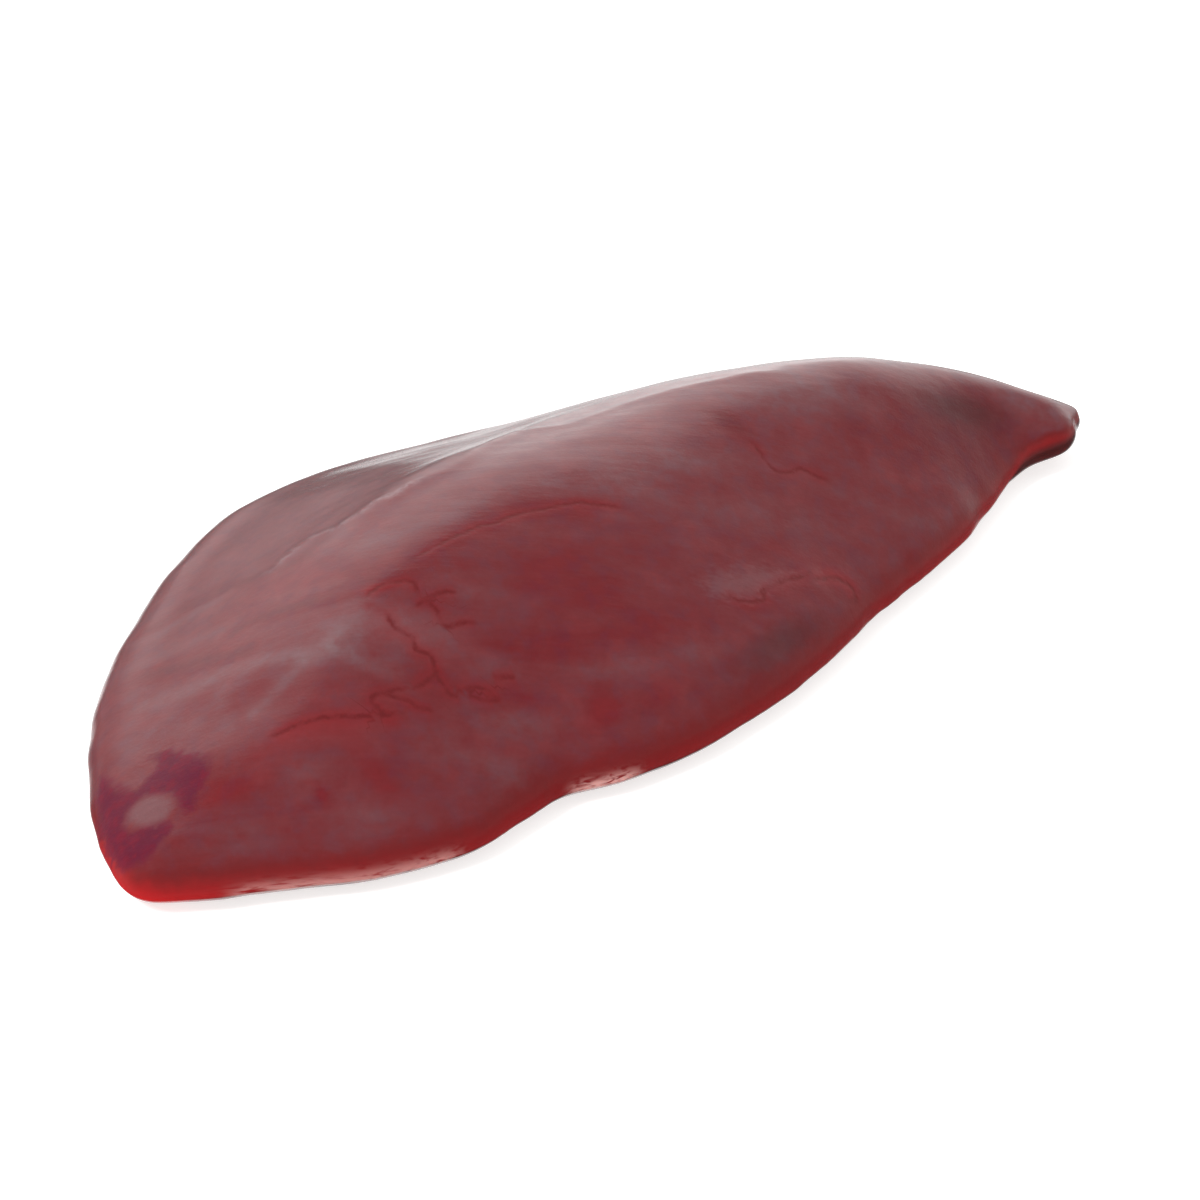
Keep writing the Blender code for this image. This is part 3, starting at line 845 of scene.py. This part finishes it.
table_mesh = bpy.data.meshes.new("table")
half = TABLE_SIZE / 2
table_mesh.from_pydata(
    [(-half, -half, 0), (half, -half, 0), (half, half, 0), (-half, half, 0)], [], [(0, 1, 2, 3)]
)
table = bpy.data.objects.new("table", table_mesh)
bpy.context.scene.collection.objects.link(table)
acrylic = bpy.data.materials.new("white_acrylic")
acrylic.use_nodes = True
acrylic_shader = acrylic.node_tree.nodes["Principled BSDF"]
acrylic_shader.inputs["Base Color"].default_value = TABLE_WHITE
acrylic_shader.inputs["Roughness"].default_value = 0.8
acrylic_shader.inputs["Emission Color"].default_value = TABLE_WHITE
acrylic_shader.inputs["Emission Strength"].default_value = TABLE_GLOW
table_mesh.materials.append(acrylic)
table.visible_glossy = False


# The camera, at the photograph's angle: from the front left of the lobe, 30 degrees up.
CAMERA_TURN = math.radians(-44)
CAMERA_RISE = math.radians(30)
CAMERA_DISTANCE = 0.80
AIM = Vector((-0.0133, -0.0278, 0.015))
LENS, SENSOR = 90, 36


def towards(turn, rise):
    """The direction at a turn from the front and a rise above level."""
    level = math.cos(rise)
    return Vector((math.sin(turn) * level, -math.cos(turn) * level, math.sin(rise)))


camera = bpy.data.objects.new("camera", bpy.data.cameras.new("camera"))
camera.data.lens = LENS
camera.data.sensor_width = SENSOR
towards_camera = towards(CAMERA_TURN, CAMERA_RISE)
camera.location = AIM + CAMERA_DISTANCE * towards_camera
camera.rotation_mode = "QUATERNION"
camera.rotation_quaternion = (-towards_camera).to_track_quat("-Z", "Y")
bpy.context.scene.collection.objects.link(camera)
bpy.context.scene.camera = camera


# The light: a soft lamp high on the left shades the lobe. Round it is a dim pale studio with a
# wide soft window that leans, behind the table, a bright sill below it, and the white of the
# table top. The wet skin mirrors these three where it turns away from the camera.
LAMP_TURN = CAMERA_TURN - math.radians(68)
LAMP_RISE = math.radians(52)
LAMP_SOFTNESS = math.radians(22)
LAMP_STRENGTH = 1.7

lamp = bpy.data.objects.new("lamp", bpy.data.lights.new("lamp", "SUN"))
lamp.data.energy = LAMP_STRENGTH
lamp.data.angle = LAMP_SOFTNESS
lamp.rotation_mode = "QUATERNION"
lamp.rotation_quaternion = towards(LAMP_TURN, LAMP_RISE).to_track_quat("Z", "Y")
lamp.visible_glossy = False
bpy.context.scene.collection.objects.link(lamp)

WINDOW_TURN = CAMERA_TURN + math.radians(178)
WINDOW_LEAN = math.radians(20)
WINDOW_LIGHT, SILL_LIGHT, TABLE_LIGHT = 0.88, 0.85, 1.0
FLOOR_LIGHT, WALL_LIGHT, CEILING_LIGHT = 0.12, 0.24, 0.12
# Degrees of height, or of turn to either side, at which each part starts to show and shows in full
WALL_FOOT, CEILING = (-14, -2), (10, 35)
WINDOW_FOOT, WINDOW_HEAD, WINDOW_SIDES = (-12, 10), (50, 36), (60, 24)
SILL_FOOT, SILL_HEAD, SILL_SIDES = (-20, -12), (8, -2), (11, 3)
TABLE_EDGE, TABLE_SIDES = (-12, -24), (45, 20)

studio = bpy.data.worlds.new("studio")
studio.use_nodes = True
sky = studio.node_tree
direction = add(sky, "ShaderNodeTexCoord", {}).outputs["Generated"]
upwards = add(sky, "ShaderNodeSeparateXYZ", {0: direction}).outputs["Z"]
level = add(sky, "ShaderNodeVectorMath", {0: direction, 1: (1, 1, 0)}, operation="MULTIPLY")
level = add(sky, "ShaderNodeVectorMath", {0: level}, operation="NORMALIZE")
facing = add(
    sky, "ShaderNodeVectorMath", {0: level, 1: towards(WINDOW_TURN, 0)}, operation="DOT_PRODUCT"
).outputs["Value"]
leaning = Vector((
    -math.cos(WINDOW_TURN) * math.sin(WINDOW_LEAN),
    -math.sin(WINDOW_TURN) * math.sin(WINDOW_LEAN),
    math.cos(WINDOW_LEAN),
))
tilted = add(
    sky, "ShaderNodeVectorMath", {0: direction, 1: leaning}, operation="DOT_PRODUCT"
).outputs["Value"]
fade = {}
for name, source, function, (start, full) in (
    ("walls", upwards, math.sin, WALL_FOOT),
    ("ceiling", upwards, math.sin, CEILING),
    ("foot", tilted, math.sin, WINDOW_FOOT),
    ("sill_foot", upwards, math.sin, SILL_FOOT),
    ("sill_head", upwards, math.sin, SILL_HEAD),
    ("sill_sides", facing, math.cos, SILL_SIDES),
    ("head", tilted, math.sin, WINDOW_HEAD),
    ("sides", facing, math.cos, WINDOW_SIDES),
    ("edge", upwards, math.sin, TABLE_EDGE),
    ("reach", facing, math.cos, TABLE_SIDES),
):
    fade[name] = add(
        sky, "ShaderNodeMapRange",
        {"Value": source, "From Min": function(math.radians(start)),
         "From Max": function(math.radians(full))},
        interpolation_type="SMOOTHSTEP",
    )
brightness = FLOOR_LIGHT
for strength, shares in (
    (WALL_LIGHT, ("walls",)),
    (CEILING_LIGHT, ("ceiling",)),
    (WINDOW_LIGHT, ("foot", "walls", "head", "sides")),
    (SILL_LIGHT, ("sill_foot", "sill_head", "sill_sides")),
    (TABLE_LIGHT, ("edge", "reach")),
):
    for name in shares:
        strength = add(sky, "ShaderNodeMath", {0: strength, 1: fade[name]}, operation="MULTIPLY")
    brightness = add(sky, "ShaderNodeMath", {0: brightness, 1: strength}, operation="ADD")
background = sky.nodes["Background"]
background.inputs["Color"].default_value = (1, 1, 1, 1)
sky.links.new(brightness.outputs[0], background.inputs["Strength"])
bpy.context.scene.world = studio
bpy.context.scene.view_settings.view_transform = "Standard"
